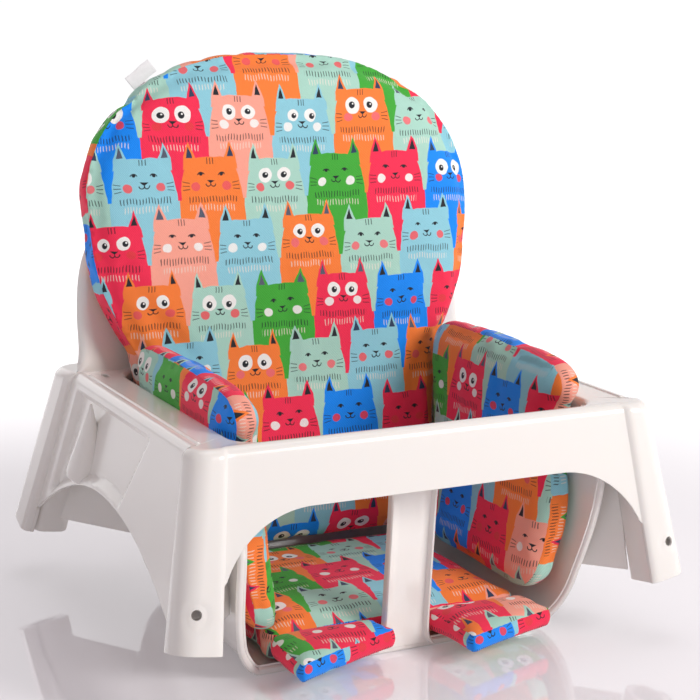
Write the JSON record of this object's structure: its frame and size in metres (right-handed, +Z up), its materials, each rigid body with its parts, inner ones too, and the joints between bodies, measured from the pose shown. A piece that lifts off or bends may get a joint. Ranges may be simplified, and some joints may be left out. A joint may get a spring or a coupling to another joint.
{
  "type": "baby high chair seat",
  "caption": "Moulded plastic baby high chair seat with leg sockets, leg openings and a backrest, fitted with a padded, patterned support cushion.",
  "frame": {"origin": "middle plane of the seat, on the flat base of the tub, where the floor is", "axes": "+Z up, -Y the way the sitter faces, +X to the right seen from the front"},
  "size_m": [0.4518, 0.4042, 0.4612],
  "materials": {
    "shell_plastic": "glossy moulded polypropylene, warm white",
    "print_fabric": "twill cotton with a printed pattern",
    "strip_fabric": "twill cotton edge strip",
    "filling": "soft white filling",
    "label_fabric": "folded white satin tape",
    "zip_fabric": "woven tape",
    "zip_plastic": "nylon coil",
    "zip_metal": "white lacquered zinc"
  },
  "bodies": {
    "shell": {"seat_tub": "shell_plastic", "tub_front_lip": "shell_plastic", "crotch_post": "shell_plastic", "inner_front_wall": "shell_plastic", "armrest_rim": "shell_plastic", "left_tray_rail": "shell_plastic", "right_tray_rail": "shell_plastic", "front_apron": "shell_plastic", "rear_apron": "shell_plastic", "left_side_panel": "shell_plastic", "right_side_panel": "shell_plastic", "front_left_socket": "shell_plastic", "front_right_socket": "shell_plastic", "rear_left_socket": "shell_plastic", "rear_right_socket": "shell_plastic", "backrest": "shell_plastic"},
    "cushion": {"back_cover_front": "print_fabric", "back_cover_rear": "print_fabric", "back_side_strip": "strip_fabric", "back_filling": "filling", "left_wing_cover": "print_fabric", "left_wing_filling": "filling", "right_wing_cover": "print_fabric", "right_wing_filling": "filling", "seat_cover": "print_fabric", "seat_filling": "filling", "left_seat_flap": "print_fabric", "right_seat_flap": "print_fabric", "label_tag": "label_fabric", "zip_tape": "zip_fabric", "zip_coil": "zip_plastic"},
    "zip_slider_body": {"zip_slider": "zip_metal", "zip_pull": "zip_metal"}
  },
  "joints": [
    {"name": "cushion_lift", "type": "slide", "parent": "shell", "child": "cushion", "axis": [0, 0, 1], "range_m": [0, 0.3], "deforming": ["left_seat_flap", "right_seat_flap"]},
    {"name": "zip_slide", "type": "slide", "parent": "cushion", "child": "zip_slider_body", "axis": [1, 0, 0], "range_m": [0, 0.188]}
  ]
}
